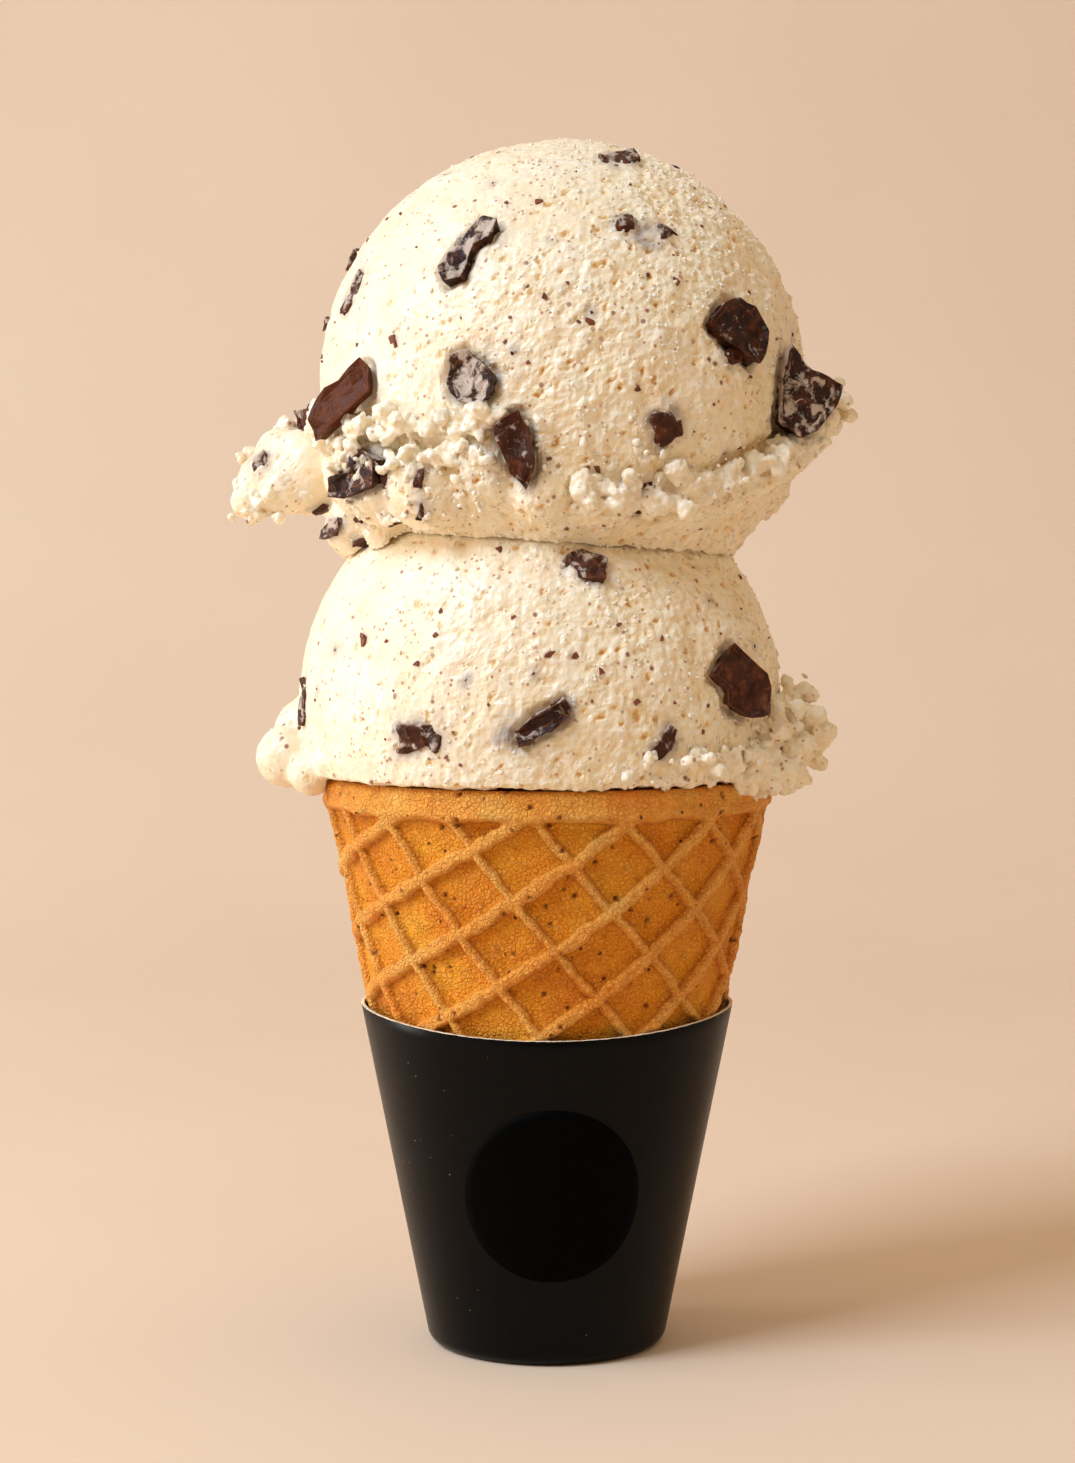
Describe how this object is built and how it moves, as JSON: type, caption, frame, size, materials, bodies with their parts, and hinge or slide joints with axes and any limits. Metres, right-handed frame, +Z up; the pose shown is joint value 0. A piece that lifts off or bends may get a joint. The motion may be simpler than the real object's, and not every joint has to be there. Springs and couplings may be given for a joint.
{
  "type": "ice cream cone",
  "caption": "Scoops of cream-coloured ice cream with chocolate chunks, stacked in a rolled waffle cone that stands in a tapered black card sleeve.",
  "frame": {"origin": "centre of the sleeve's flat underside", "axes": "+Z up along the cone's axis, -Y towards the front, +X to the right as seen from the front"},
  "size_m": [0.085, 0.0712, 0.1679],
  "materials": {
    "sleeve": "satin black printed card with a paler raw cut edge",
    "waffle": "dry golden-brown baked wafer",
    "cream": "soft cream-coloured ice cream, slightly glossy where it melts",
    "chocolate": "broken dark chocolate with frost"
  },
  "bodies": {
    "root": {"sleeve": "sleeve", "cone": "waffle", "lower_scoop": "cream", "upper_scoop": "cream", "chunk_upper_long": "chocolate", "chunk_upper_right": "chocolate", "chunk_upper_lip": "chocolate", "chunk_upper_shard": "chocolate", "chunk_upper_side": "chocolate", "chunk_upper_frosted": "chocolate", "chunk_upper_cluster": "chocolate", "chunk_upper_diamond": "chocolate", "chunk_lower_star": "chocolate", "chunk_lower_front": "chocolate", "chunk_back_high": "chocolate", "chunk_back_left": "chocolate", "chunk_back_right": "chocolate", "chunk_back_ledge": "chocolate", "chunk_back_low": "chocolate", "chunk_back_low_right": "chocolate"}
  },
  "joints": []
}
